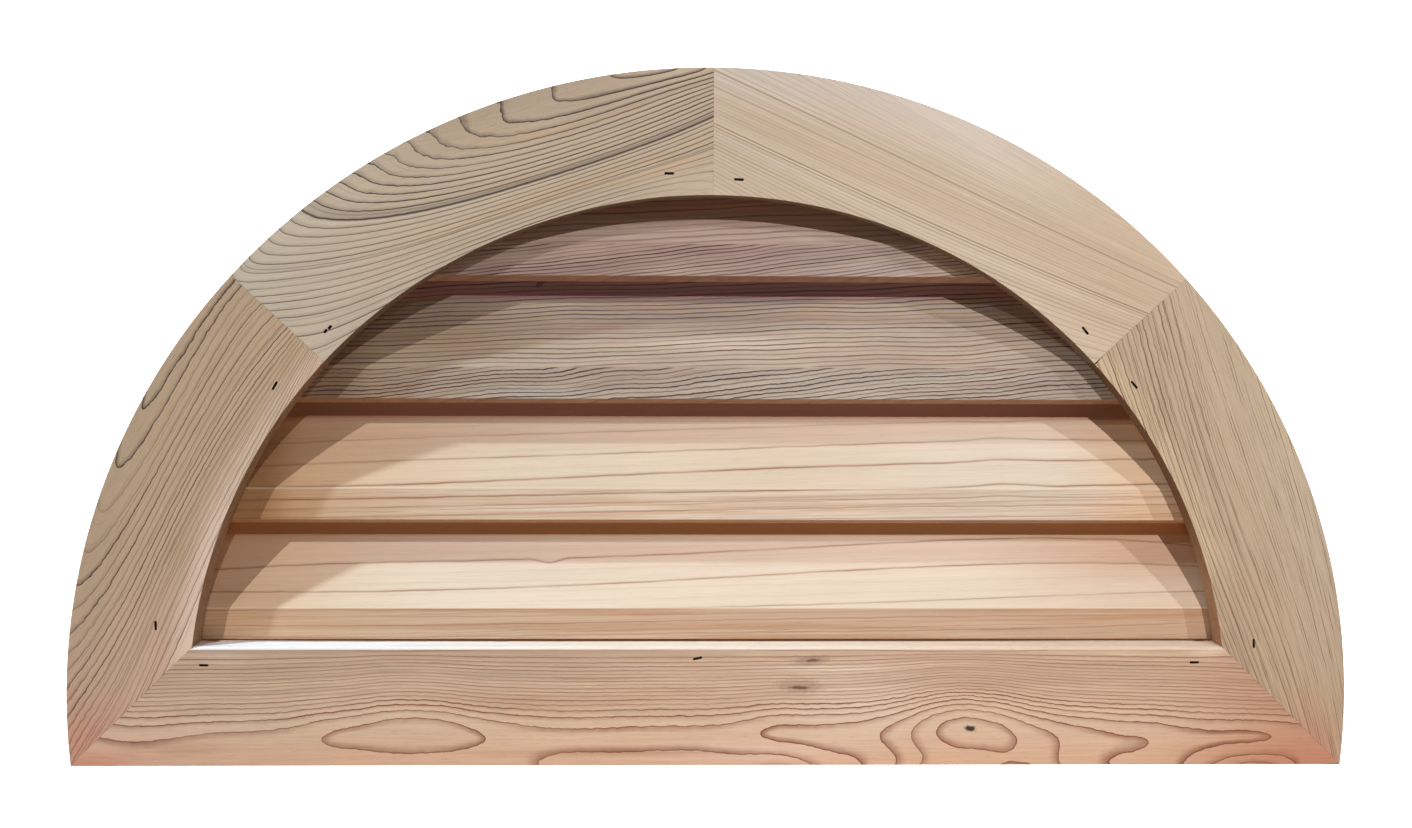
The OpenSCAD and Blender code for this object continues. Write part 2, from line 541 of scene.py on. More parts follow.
def near_opening(m):
    """1 at the inner arc, falling to 0 some 20 mm outside it."""
    return (m.r() - INNER_R).step(2, 22, 1.0, 0.0)


def inner_edge(m):
    """The edge of a trim board that faces the opening, where the trims paint shade as a darker colour."""
    return (m.r() - INNER_R).step(0.2, 0.7, 1.0, 0.0) * m.y.step(FACE_Y + 0.4, FACE_Y + 1.2)


def strength_ul(m):
    # strong hooks on the outer side, finer and weaker rings inside
    return m.F.step(12.5, 14.5, 1.0, 0.75) * (gauss2(m.x, m.z, -4, 386, 45, 13) * -0.8 + 1.0)


def strength_ll(m):
    return m.F.step(11.0, 15.0, 1.0, 0.60)


def strength_ur(m):
    return m.F.step(19, 28).mad(0.35, 0.55) * (rim(m) * m.x.step(60, 160) * -0.7 + 1.0)


def strength_lr(m):
    inner = m.F.step(-1.2, 0.4)
    return inner * (gauss2(m.x, m.z, 310, 250, 60, 110) * 0.35 + 0.72) + 0.10


def strength_rail(m):
    return m.F.step(5.5, 8.5, 1.2, 0.85) * m.F.step(9, 14, 1.0, 0.75)


def on_lip(m):
    """The rounded top edge of the rail."""
    return m.z.step(RAIL_TOP - 2.4, RAIL_TOP - 1.4)


MATS = {}
MATS["trim_upper_left"] = cedar(
    "cedar_upper_left", RING_UL, 20, (219, 201, 176), (94, 78, 72), seed=3.1, line=1.15, core=0.95,
    grad=0.35, vary=0.35, strength=strength_ul, sub=(2.0, 0.34), fibre=0.17, fine=0.10, tone=0.04, follow=-3.0,
    heavy=((12.93, 0.85, 1.15), (12.35, 0.5, 0.35), (18.5, 0.5, 0.5)),
    jag=lambda m: (m.r() - OUTER_R).step(-40, -4, 0.0, 7.0) * gauss(m.x, -165, 75) * m.x.step(-130, -50, 1.0, 0.2) + 0.6,
    soft=lambda m: (m.r() - OUTER_R).step(-36, -6) * m.x.step(-250, -150) * m.x.step(-30, 20, 1.0, 0.0),
    tint=((lambda m: m.noise(m.F * 0.5, m.x * 0.006, 4.4, detail=2.0).step(0.5, 0.62) * m.x.step(-240, -120), (226, 195, 156), 0.5),
          (lambda m: gauss(m.F, 12.35, 0.6), (150, 138, 126), 0.45),
          (lambda m: gauss(m.F, 13.35, 0.2), (232, 216, 194), 0.7),
          (lambda m: m.x.step(-330, -230, 1.0, 0.0), (217, 205, 187), 0.6),
          (lambda m: rim(m) * m.x.step(-260, -180) * m.x.step(-90, -20, 1.0, 0.0), (198, 179, 156), 0.7),
          (near_opening, (212, 196, 174), 0.5)),
    # painted shade: the edge facing the opening is darkened
    over=((inner_edge, (120, 92, 70), 0.8),),
    pockets=slots_of("trim_upper_left"))
MATS["trim_upper_right"] = cedar(
    "cedar_upper_right", RING_UR, -24, (226, 209, 185), (146, 106, 74), seed=11.7, line=0.62, core=0.8,
    grad=0.30, vary=0.6, strength=strength_ur, sub=(1.7, 0.22), fibre=0.15, fine=0.09, tone=0.07, follow=-2.0,
    heavy=((5.93, 0.6, 0.6), (9.93, 0.5, 0.4), (3.4, 0.5, 0.25), (19.95, 0.55, 0.75), (20.75, 0.5, 0.6), (8.2, 0.45, 0.25)),
    tint=((lambda m: rim(m) * m.x.step(170, 300, 1.0, 0.25), (236, 227, 214), 0.85),
          (lambda m: gauss(m.F, 20.35, 0.25), (246, 236, 218), 0.95),
          (lambda m: gauss(m.F, 22.6, 1.3), (234, 222, 204), 0.6),
          (lambda m: gauss(m.F, 13.5, 3.6), (220, 198, 170), 0.5),
          (lambda m: m.x.step(190, 320), (212, 190, 156), 0.5),
          (near_opening, (222, 206, 184), 0.6)),
    # painted shade: the edge facing the opening is darkened
    over=((inner_edge, (120, 88, 66), 0.8),),
    pockets=slots_of("trim_upper_right"))
MATS["trim_lower_left"] = cedar(
    "cedar_lower_left", RING_LL, 62, (212, 182, 151), (92, 72, 60), seed=21.3, line=1.15, core=0.85,
    grad=0.28, vary=0.65, strength=strength_ll, sub=(2.0, 0.55), fibre=0.17, fine=0.10, tone=0.05, follow=-3.0,
    jag=lambda m: (m.r() - OUTER_R).step(-40, -4, 1.4, 3.0), wiggle=0.24,
    soft=lambda m: (m.r() - OUTER_R).step(-30, -4) * 0.55,
    tint=((rim, (197, 171, 144), 0.75),
          (lambda m: m.z.step(10, 150, 1.0, 0.0) * (m.r() - OUTER_R).step(-80, -20, 1.0, 0.45), (232, 191, 172), 0.75),
          (lambda m: gauss2(m.x, m.z, -455, -22, 32, 34), (228, 164, 140), 0.85),
          (lambda m: near_opening(m) * m.z.step(130, 230, 1.0, 0.55), (246, 219, 200), 0.9)),
    # the edge facing the opening: its own darker sawn tone, with painted shade
    over=((inner_edge, (150, 116, 84), 0.8),),
    pockets=slots_of("trim_lower_left"))
MATS["trim_lower_right"] = cedar(
    "cedar_lower_right", RING_LR, -66, (206, 186, 157), (112, 84, 58), seed=31.9, line=0.95, core=0.75,
    grad=0.30, vary=0.6, strength=strength_lr, sub=(3.0, 0.85), fibre=0.16, fine=0.13, tone=0.05, follow=-2.0,
    jag=lambda m: m.z.step(180, 240, 0.6, 2.0), wiggle=0.22,
    tint=((lambda m: rim(m) * m.z.step(20, 70) * m.z.step(150, 280, 1.0, 0.3), (223, 206, 190), 0.85),
          (lambda m: gauss2(m.x, m.z, 462, -30, 36, 46), (214, 138, 114), 0.9),
          (lambda m: m.z.step(60, 180, 1.0, 0.0), (199, 171, 141), 0.4),
          (lambda m: (m.F + 3.5).step(-3.0, 3.0, 1.0, 0.0), (204, 187, 158), 0.6),
          (lambda m: near_opening(m) * m.z.step(70, 140), (228, 206, 172), 0.8)),
    # the edge facing the opening: its own orange-brown sawn tone, with painted shade that is deepest on its upper part
    over=((inner_edge, (178, 130, 94), 0.8),
          (lambda m: inner_edge(m) * m.z.step(90, 170), (112, 80, 58), 0.85)),
    pockets=slots_of("trim_lower_right"))
MATS["bottom_rail"] = cedar(
    "cedar_rail", RING_RAIL, 0, (228, 200, 172), (148, 94, 72), seed=41.2, line=1.05, core=1.05,
    grad=0.45, vary=0.35, reach=9.0, sub_where=lambda m: m.F.step(5.5, 7.5), strength=strength_rail, sub=(3.0, 0.42), fibre=0.20, fine=0.12, tone=0.05, wiggle=0.035,
    jag=lambda m: m.F.step(6, 10, 2.4, 0.8),
    soft=lambda m: m.per_mm.step(0.04, 0.10, 0.6, 0.0) * m.F.step(6.5, 9.0, 1.0, 0.0),
    tint=((lambda m: m.z.step(-34, 4, 1.0, 0.0), (228, 182, 151), 0.7),
          (lambda m: m.x.step(-460, -330, 1.0, 0.0), (238, 200, 180), 0.5),
          (lambda m: m.z.step(10, 30) * m.noise(m.x * 0.004, m.z * 0.10, 7.7, detail=2.0).step(0.4, 0.6), (205, 178, 153), 0.6),
          (lambda m: gauss2(m.x, m.z, 105, 14, 50, 26), (240, 218, 194), 0.7),
          (lambda m: gauss2(m.x, m.z, 85, 38, 42, 2.6), (244, 226, 204), 0.85),
          (lambda m: gauss2(m.x, m.z, 30, -24, 60, 7), (246, 214, 196), 0.7),
          (lambda m: gauss2(m.x, m.z, -388, -22, 30, 6), (204, 152, 124), 0.45),
          (lambda m: gauss2(m.x, m.z, -120, 12, 90, 10), (214, 178, 146), 0.5),
          (lambda m: gauss2(m.x, m.z, 368, 50, 17, 4.5), (250, 230, 204), 0.85),
          (lambda m: gauss2(m.x, m.z, -356, 47, 17, 6), (244, 224, 210), 0.7),
          (lambda m: gauss2(m.x, m.z, -455, -34, 40, 12), (226, 150, 124), 0.7),
          (lambda m: gauss2(m.x, m.z, -60, -25, 90, 2.2), (168, 120, 92), 0.5),
          (lambda m: m.x.step(300, 460), (198, 149, 116), 0.7),
          (lambda m: gauss2(m.x, m.z, 440, -30, 60, 22), (210, 144, 118), 0.7),
          (lambda m: m.z.step(26, 50) * m.x.step(-120, 60, 1.0, 0.0), (200, 172, 148), 0.5)),
    over=((on_lip, (246, 232, 216), 0.95),
          (lambda m: on_lip(m) * m.x.step(-20, 330), (226, 201, 178), 0.9),
          (lambda m: on_lip(m) * m.x.step(-300, -40, 1.0, 0.0), (243, 240, 240), 0.95)),
    spots=((193, -7, 4.2, 2.3, -8, (46, 34, 28), 0.95),
           (75, 44.5, 14, 3.2, 4, (150, 122, 108), 0.45), (76, 44.5, 5, 1.0, 4, (96, 74, 66), 0.8),
           (66, 25.5, 17, 6.0, -2, (160, 124, 102), 0.45), (66, 24.0, 7, 1.3, -2, (96, 66, 52), 0.8)),
    pockets=slots_of("bottom_rail"))


def blade_line(*c, bump=(218, 22)):
    """Height of a single dark ring along a blade."""
    def height(m):
        h = horner(m.x / 200.0, c[:5])
        return gauss(m.x, *bump)._op("MULTIPLY_ADD", c[5], h) if c[5] else h
    return height


def nose(k, soft=0.6):
    """1 on a blade's plumb-cut nose, 0 on its slope."""
    z = BLADE_Z[k - 1] + NOSE_H
    return lambda m: m.z.step(z - soft, z + soft, 1.0, 0.0)


def under(k):
    """1 on the narrow edge under a blade's nose, whose colour is partly the sawn edge's own tone and partly painted
    shade warmed as by light bounced up from below.
    """
    z = BLADE_Z[k - 1]
    return lambda m: m.z.step(z + 3.4, z + 4.4, 1.0, 0.0)


def two_fields(k, slope_field, nose_field):
    z = BLADE_Z[k - 1] + NOSE_H

    def ring(m):
        f = m.z.step(z - 0.3, z + 0.3)
        a, b = nose_field(m), slope_field(m)
        return a + (b - a) * f
    return ring


def band(k):
    """The top of a blade's slope, which stays in the shade of the blade above; the blades paint shade there as a darker
    colour.
    """
    z = BLADE_Z[k - 1]
    return lambda m: m.z.step(z + 76.5, z + 79.5) * (m.y - (m.z - z) * 0.4142).step(-13, -9, 1.0, 0.0)


def painted_ridge_highlight(k):
    """The crisp edge between a blade's slope and its plumb-cut nose, where a highlight is painted as a lighter colour.
    """
    z = BLADE_Z[k - 1] + NOSE_H
    return lambda m: ridge(m.z - z, 0.7) * m.y.step(2, 6, 1.0, 0.0)


MATS["louver_1"] = cedar(
    "cedar_louver_1", two_fields(1, straight(2.6, 4.4, 0.2, 0.3, 2.2), straight(6.5, 2.5, 0.2, 0.0, 3.4)), 3.0,
    (200, 177, 162), (88, 62, 66), seed=51.0, line=1.25, core=0.9, grad=0.35, vary=0.7, pitch=2.6,
    strength=lambda m: nose(1)(m).mad(0.35, 0.50), sub=(2.0, 0.20), fibre=0.26, fine=0.12, tone=0.12, wiggle=0.35,
    tint=((lambda m: nose(1, 5)(m) * m.noise(m.x * 0.008, m.z * 0.03, 6.0, detail=2.0).step(0.35, 0.6), (182, 157, 150), 0.8),
          (lambda m: nose(1)(m) * m.x.step(20, 120) * m.x.step(150, 230, 1.0, 0.0), (198, 181, 171), 0.6),
          # painted shade: the top blade's upper part, in the arch's shade, is darker
          (lambda m: m.z.step(BLADE_Z[0] + 40, BLADE_Z[0] + 62), (166, 138, 118), 0.8),
          (lambda m: m.x.step(146, 166), (218, 194, 176), 0.6),
          # painted shade: the strip in the arch crown's shadow is given a redder brown
          (lambda m: m.z.step(BLADE_Z[0] + 49, BLADE_Z[0] + 53), (198, 160, 146), 0.85)),
    # under the nose: sawn tone with painted warm shade; along the ridge: a painted highlight
    over=((under(1), (186, 146, 120), 0.8), (painted_ridge_highlight(1), (196, 168, 150), 0.5)))
MATS["louver_2"] = cedar(
    "cedar_louver_2", two_fields(2, straight(2.3, 3.6, 0.2, 0.6, 2.4), straight(5.5, 3.1, 0.2, 0.0, 4.2)), 3.0,
    (195, 177, 156), (84, 72, 74), seed=61.0, line=1.1, core=1.2, grad=0.35, vary=0.6, pitch=4.0,
    sub=(2.0, 0.36), fibre=0.20, fine=0.12, tone=0.10, wiggle=0.30, jag=lambda m: nose(2)(m).mad(1.4, 0.6),
    strength=lambda m: nose(2)(m).mad(0.3, 1.0),
    tint=((nose(2), (206, 195, 180), 0.8),
          (lambda m: m.noise(m.x * 0.006, m.z * 0.07, 2.0, detail=2.0).step(0.42, 0.6), (188, 160, 142), 0.6),
          (lambda m: m.noise(m.x * 0.005, m.z * 0.05, 9.0, detail=1.0).step(0.48, 0.62) * m.z.step(BLADE_Z[1] + 45, BLADE_Z[1] + 60), (164, 153, 146), 0.7),
          # painted shade: the blade's ends, in the trims' shadows, are darker and browner
          (lambda m: m.x.step(-300, -120, 1.0, 0.0), (186, 162, 132), 0.6),
          (lambda m: m.x.step(-276, -240, 1.0, 0.0), (152, 122, 92), 0.7),
          (lambda m: m.x.step(170, 290), (172, 156, 142), 0.6),
          (lambda m: gauss2(m.x, m.z, -190, BLADE_Z[1] + 52, 60, 22), (160, 138, 114), 0.65),
          (lambda m: gauss2(m.x, m.z, 5, BLADE_Z[1] + 62, 75, 8), (158, 136, 126), 0.65),
          (lambda m: gauss2(m.x, m.z, 20, BLADE_Z[1] + 44, 75, 5), (230, 212, 190), 0.8),
          # painted shade along the top of the slope, under the blade above
          (band(2), (182, 140, 144), 0.85)),
    late_tint=((lambda m: gauss(m.z, BLADE_Z[1] + 42, 14), (124, 88, 74), 0.9),
               (lambda m: m.z.step(BLADE_Z[1] + 58, BLADE_Z[1] + 66), (100, 90, 92), 0.8)),
    spots=((-128, 322, 4.5, 2.2, 50, (70, 50, 46), 0.6), (-128, 322, 2.6, 1.1, 50, (140, 108, 100), 0.5)),
    # under the nose: sawn tone with painted warm shade; along the ridge: a painted highlight
    over=((under(2), (186, 140, 108), 0.8), (painted_ridge_highlight(2), (204, 182, 160), 0.5)))
MATS["louver_3"] = cedar(
    "cedar_louver_3", straight(1.5, 7.0, 0.3), 1.5, (225, 205, 181), (156, 108, 80), seed=71.0, line=0.34,
    core=1.1, grad=0.6, vary=0.8, fibre=0.11, fine=0.06, tone=0.06, wiggle=0.2, sub=(3.0, 0.50), sub_where=lambda m: nose(3)(m).mad(0.75, 0.25),
    pitch=7.0, strength=lambda m: nose(3)(m).mad(0.6, 0.4),
    tint=((nose(3), (243, 225, 204), 0.9),
          (lambda m: nose(3)(m) * m.noise(m.x * 0.004, m.z * 0.22, 3.0, detail=2.0).step(0.45, 0.6), (222, 184, 150), 0.6),
          (lambda m: gauss(m.z, BLADE_Z[2] + 68, 9), (224, 196, 178), 0.7),
          # painted shade: the left end, in the left trim's shadow, is warmer orange
          (lambda m: m.x.step(-340, -100, 1.0, 0.0), (220, 178, 136), 0.8),
          (lambda m: m.x.step(60, 200) * m.x.step(240, 310, 1.0, 0.0) * m.z.step(BLADE_Z[2] + 62, BLADE_Z[2] + 70, 1.0, 0.0), (228, 216, 200), 0.6),
          # painted shade: deeper and redder at the very left end
          (lambda m: m.x.step(-335, -300, 1.0, 0.0), (176, 132, 78), 0.7),
          # painted shade: the right end's shade is made warmer
          (lambda m: m.x.step(260, 330), (236, 196, 154), 0.6),
          # painted shade along the top of the slope, darker still towards its ends
          (band(3), (200, 143, 128), 0.9),
          (lambda m: band(3)(m) * m.x.sq().step(200 ** 2, 330 ** 2), (160, 116, 84), 0.7)),
    # under the nose: sawn tone with painted warm shade; along the ridge: a painted highlight
    over=((under(3), (190, 142, 106), 0.8), (painted_ridge_highlight(3), (246, 230, 206), 0.6)),
    lines=((blade_line(212.3, 6.3, 0.2, -0.2, -0.4, -0.7), 0.6, 0.50, 1),
           (blade_line(197.0, 7.7, 0.4, -0.7, -0.5, 1.6), 0.65, 0.72, 2),
           (blade_line(181.8, 8.5, -1.6, -0.8, 0.4, 1.8), 0.75, 0.95, 3),
           (blade_line(167.0, 3.8, -0.7, 0.0, 0.2, 2.5), 0.7, 0.90, 4),
           (blade_line(159.8, 3.4, -0.5, -0.1, 0.0, 1.4), 0.5, 0.65, 5),
           (blade_line(153.3, 4.1, -0.4, -0.3, 0.0, -0.4), 0.5, 0.70, 6),
           (blade_line(146.0, 2.1, -0.8, 0.9, -0.1, 0.3), 0.5, 0.60, 7)))
MATS["louver_4"] = cedar(
    "cedar_louver_4", straight(1.5, 8.0, 0.3), 1.5, (233, 215, 194), (156, 108, 80), seed=81.0, line=0.30,
    core=1.1, grad=0.6, vary=0.8, fibre=0.10, fine=0.06, tone=0.06, wiggle=0.2, sub=(3.0, 0.50), sub_where=lambda m: nose(4)(m).mad(0.75, 0.25),
    pitch=8.0, strength=lambda m: nose(4)(m).mad(0.6, 0.4),
    tint=((nose(4), (213, 182, 154), 0.9),
          (lambda m: nose(4)(m) * m.noise(m.x * 0.004, m.z * 0.16, 5.0, detail=2.0).step(0.45, 0.6), (196, 156, 120), 0.6),
          (lambda m: gauss(m.z, BLADE_Z[3] + 68, 9), (226, 198, 180), 0.7),
          # painted shade: the left end, in the left trim's shadow, is warmer orange
          (lambda m: m.x.step(-370, -190, 1.0, 0.0), (226, 188, 150), 0.8),
          (lambda m: m.x.step(190, 330) * m.z.step(BLADE_Z[3] + 40, BLADE_Z[3] + 60, 0.5, 1.0), (200, 162, 128), 0.7),
          # painted shade along the top of the slope, under the blade above
          (band(4), (208, 152, 104), 0.9)),
    # under the nose: sawn tone with painted warm shade; along the ridge: a painted highlight
    over=((under(4), (190, 142, 106), 0.8), (painted_ridge_highlight(4), (244, 226, 202), 0.6)),
    lines=((blade_line(118.0, 9.1, 2.7, -1.3, -1.1, -3.1, bump=(-121, 9)), 0.65, 0.80, 11),
           (blade_line(99.9, 10.4, 0.9, -1.6, -0.3, 0), 0.65, 0.80, 12),
           (blade_line(79.8, 4.0, 2.3, -0.1, -0.3, 0), 0.5, 0.65, 13),
           (blade_line(74.9, 2.9, 0.5, -0.4, -0.1, 0), 0.5, 0.45, 14),
           (blade_line(69.9, 3.8, -0.3, -0.5, 0.1, 0), 0.5, 0.65, 15),
           (blade_line(60.3, 2.6, -0.5, 0.1, 0.4, 0), 0.5, 0.65, 16)))


def sleeve_mat(node, seed):
    """The sleeve's cedar, one orange-brown wood throughout; inside the opening it looks dark from shade alone."""
    lo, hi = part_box(node)
    cx, cz = (lo.x + hi.x) * 500, (lo.z + hi.z) * 500
    ang = math.degrees(math.atan2(cz, cx)) - 90 if node != "sleeve_sill" else 0.0
    return cedar("cedar_" + node, straight(ang, 5.5 + seed % 3, 0.45, seed, 0.8), ang, (196, 158, 122), (134, 92, 62),
                 seed=seed, line=0.6, core=1.1, grad=0.5, vary=0.6, fibre=0.11, fine=0.08, tone=0.09, wiggle=0.15,
                 pitch=5.5 + seed % 3)


for i, node in enumerate(sorted(n for n in N if n.startswith("sleeve"))):
    MATS[node] = sleeve_mat(node, 91.0 + 7.7 * i)


def wire_mat():
    m = Mat("staple_wire")
    n = m.noise(m.x * 0.9, m.y * 0.9, m.z * 0.9, detail=3.0)
    m.link(m.mix(n.step(0.35, 0.7), (30, 26, 24), (62, 50, 42)), m.b.inputs["Base Color"])
    m.b.inputs["Metallic"].default_value = 0.7
    m.link(n.mad(0.3, 0.45), m.b.inputs["Roughness"])
    bp = m.t.nodes.new("ShaderNodeBump")
    bp.inputs["Strength"].default_value = 0.3
    bp.inputs["Distance"].default_value = 0.0001
    m.link(n, bp.inputs["Height"])
    m.link(bp.outputs[0], m.b.inputs["Normal"])
    return m.m


WIRE = wire_mat()


# ---------------------------------------------------------------- boards
def capsule(bm, cx, cz, ang, length, width, y0, y1, wob=0.0):
    """A slot-shaped plug standing along y, its outline a little uneven."""
    t = math.radians(ang)
    half, r = (length - width) / 2, width / 2
    pts = []
    for i in range(20):
        a = 2 * math.pi * (i + 0.5) / 20
        u, v = r * math.cos(a), r * math.sin(a)
        u += half if u > 0 else -half
        k = 1 + wob * math.sin(3 * a + cx) + 0.6 * wob * math.sin(5 * a + cz)
        pts.append((cx + (u * math.cos(t) - v * math.sin(t)) * k,
                    cz + (u * math.sin(t) + v * math.cos(t)) * k))
    front = [bm.verts.new((x * MM, y0 * MM, z * MM)) for x, z in pts]
    back = [bm.verts.new(((cx + (x - cx) * 0.86) * MM, y1 * MM, (cz + (z - cz) * 0.86) * MM)) for x, z in pts]
    bm.faces.new(front)
    bm.faces.new(list(reversed(back)))
    n = len(pts)
    for i in range(n):
        bm.faces.new((front[(i + 1) % n], front[i], back[i], back[(i + 1) % n]))


def cutter_for(node):
    """Every slot and gap cut into a board's face, as one hidden solid."""
    bm = bmesh.new()
    for name, x, z, ang, board_node, bridged in STAPLES:
        if board_node != node:
            continue
        if bridged:
            t = math.radians(ang)
            for s in (-2.1, 2.1):
                capsule(bm, x + s * math.cos(t), z + s * math.sin(t), ang + 8, 3.9, 2.3, FACE_Y - 1, FACE_Y + 1.7, 0.06)
        else:
            capsule(bm, x, z, ang, 7.6, 2.0, FACE_Y - 1, FACE_Y + 1.7, 0.03)
    for poly in GAPS.get(node, ()):
        front = [bm.verts.new((x * MM, (FACE_Y - 1) * MM, z * MM)) for x, z in poly]
        back = [bm.verts.new((x * MM, (FACE_Y + 5) * MM, z * MM)) for x, z in poly]
        bm.faces.new(front)
        bm.faces.new(list(reversed(back)))
        for i in range(len(poly)):
            j = (i + 1) % len(poly)
            bm.faces.new((front[j], front[i], back[i], back[j]))
    if not bm.verts:
        bm.free()
        return None
    bmesh.ops.recalc_face_normals(bm, faces=bm.faces)
    me = bpy.data.meshes.new("cut")
    bm.to_mesh(me)
    bm.free()
    o = bpy.data.objects.new("cut", me)
    scene.collection.objects.link(o)
    return o


def joint_gap(angle, r0, r1, width):
    """A thin wedge below a haunch joint, open at radius r0 and closed at r1."""
    c, s = math.cos(math.radians(angle)), math.sin(math.radians(angle))
    return [(r0 * c - 0.1 * s, r0 * s + 0.1 * c), (r1 * c, r1 * s), (r0 * c + width * s, r0 * s - width * c)]


# the right haunch joint has opened a little at its inner end
GAPS = {"trim_lower_right": (joint_gap(43.5, INNER_R - 2, INNER_R + 14, 1.1),)}


def eased(bm, pick, width, least=36.0, most=181.0):
    """Rounds the picked edges whose faces meet at an angle in the given range."""
    edges = [e for e in bm.edges if len(e.link_faces) == 2
             and math.radians(least) < e.calc_face_angle(0) < math.radians(most) and pick(e)]
    if edges:
        bmesh.ops.bevel(bm, geom=edges, offset=width * MM, offset_type="OFFSET", segments=3, profile=0.5,
                        affect="EDGES", clamp_overlap=True)


def joint_edge(node):
    """The edges of a board's face that lie along a mitre or butt joint."""
    def pick(e):
        a, b = (v.co * 1000 for v in e.verts)
        if abs(a.y - FACE_Y) > 0.02 or abs(b.y - FACE_Y) > 0.02:
            return False
        if node == "bottom_rail":
            return abs(a.z - b.z) > 5
        return abs(math.hypot(a.x, a.z) - math.hypot(b.x, b.z)) > 5
    return pick


def rail_lip(e):
    a, b = (v.co * 1000 for v in e.verts)
    return all(abs(p.y - FACE_Y) < 0.02 and abs(p.z - RAIL_TOP) < 0.02 for p in (a, b))


def board(node, name, mat, ease=0.8):
    """A board with its CAD node's shape, its sharp edges eased and its slots cut."""
    bm = bmesh.new()
    bm.from_mesh(N[node].data)
    bmesh.ops.remove_doubles(bm, verts=bm.verts, dist=2e-6)
    bmesh.ops.dissolve_limit(bm, angle_limit=math.radians(0.25), verts=bm.verts[:], edges=bm.edges[:])
    bm.normal_update()
    trim = node.startswith("trim") or node == "bottom_rail"
    if node == "bottom_rail":
        eased(bm, rail_lip, 2.2)
        bm.normal_update()
    if trim:
        eased(bm, joint_edge(node), 0.18)
        bm.normal_update()
    if node.startswith("louver"):
        eased(bm, lambda e: True, 0.35, 15.0, 36.0)
        bm.normal_update()
    jp = joint_edge(node) if trim else (lambda e: False)
    eased(bm, lambda e: not jp(e), ease)
    for f in bm.faces:
        f.smooth = True
    me = bpy.data.meshes.new(name)
    bm.to_mesh(me)
    bm.free()
    o = bpy.data.objects.new(name, me)
    scene.collection.objects.link(o)
    me.materials.append(mat)
    cut = cutter_for(node)
    if cut:
        b = o.modifiers.new("slots", "BOOLEAN")
        b.operation, b.solver, b.object = "DIFFERENCE", "EXACT", cut
        done = bpy.data.meshes.new_from_object(o.evaluated_get(bpy.context.evaluated_depsgraph_get()))
        o.modifiers.clear()
        o.data = done
        bpy.data.objects.remove(cut)
    wn = o.modifiers.new("normals", "WEIGHTED_NORMAL")
    wn.weight = 80
    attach(o, "root")
    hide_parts(node)
    return o


for node in sorted(N):
    board(node, "cedar_" + node, MATS[node], 1.0 if node.startswith("louver") else 0.8)


# ---------------------------------------------------------------- staples
def staple(name, x, z, ang):
    """A narrow-crown staple of flattened wire, its crown sunk below the face."""
    bm = bmesh.new()
    top = FACE_Y + 1.0
    r, half, leg = 0.62, 2.75, 3.2
    path = [(-half, leg), (-half, 0.55), (-half + 0.2, 0.16), (-half + 0.6, 0.0), (0.0, 0.0),
            (half - 0.6, 0.0), (half - 0.2, 0.16), (half, 0.55), (half, leg)]
    t = math.radians(ang)
    rings = []
    for i, (u, d) in enumerate(path):
        a, b = path[max(i - 1, 0)], path[min(i + 1, len(path) - 1)]
        tu, td = b[0] - a[0], b[1] - a[1]
        n = math.hypot(tu, td)
        tu, td = tu / n, td / n
        ring = []
        for j in range(10):
            q = 2 * math.pi * j / 10
            side, out = r * math.cos(q), 0.42 * math.sin(q)
            uu, dd = u + td * out, d - tu * out
            px = x + uu * math.cos(t) - side * math.sin(t)
            pz = z + uu * math.sin(t) + side * math.cos(t)
            ring.append(bm.verts.new((px * MM, (top + 0.42 + dd) * MM, pz * MM)))
        rings.append(ring)
    for a, b in zip(rings, rings[1:]):
        for j in range(10):
            bm.faces.new((a[j], a[(j + 1) % 10], b[(j + 1) % 10], b[j]))
    bm.faces.new(list(reversed(rings[0])))
    bm.faces.new(rings[-1])
    bmesh.ops.recalc_face_normals(bm, faces=bm.faces)
    for f in bm.faces:
        f.smooth = True
    me = bpy.data.meshes.new(name)
    bm.to_mesh(me)
    bm.free()
    me.materials.append(WIRE)
    o = bpy.data.objects.new(name, me)
    scene.collection.objects.link(o)
    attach(o, "root")
    return o


for nm, x, z, ang, node, bridged in STAPLES:
    staple("staple_" + nm, x, z, ang)

# ---------------------------------------------------------------- stage
objs = bpy.data.collections.new("vent")
scene.collection.children.link(objs)
for o in list(scene.collection.objects):
    if o.type == "MESH":
        objs.objects.link(o)
        scene.collection.objects.unlink(o)


def stage_material():
    """Near white. Well away from the vent it also glows, so the surround is even from every side."""
    m = Mat("stage_white")
    n = m.noise(m.x * 0.002, m.y * 0.002, m.z * 0.002)
    m.link(m.mix(n.mad(0.3, 0.0), (242, 242, 242), (238, 238, 238)), m.b.inputs["Base Color"])
    m.b.inputs["Roughness"].default_value = 0.9
    m.b.inputs["Specular IOR Level"].default_value = 0.1
    m.b.inputs["Emission Color"].default_value = (1, 1, 1, 1)
    m.link((m.x.sq() + m.y.sq()).sqrt().step(900, 2000).max(m.z.step(60, 500)), m.b.inputs["Emission Strength"])
    m.m.cycles.emission_sampling = "NONE"
    return m.m


STAGE_WHITE = stage_material()


def unlit(o):
    """The stage's white lights nothing, so it doesn't wash out the shadows between the blades."""
    o.visible_diffuse = o.visible_glossy = o.visible_transmission = False


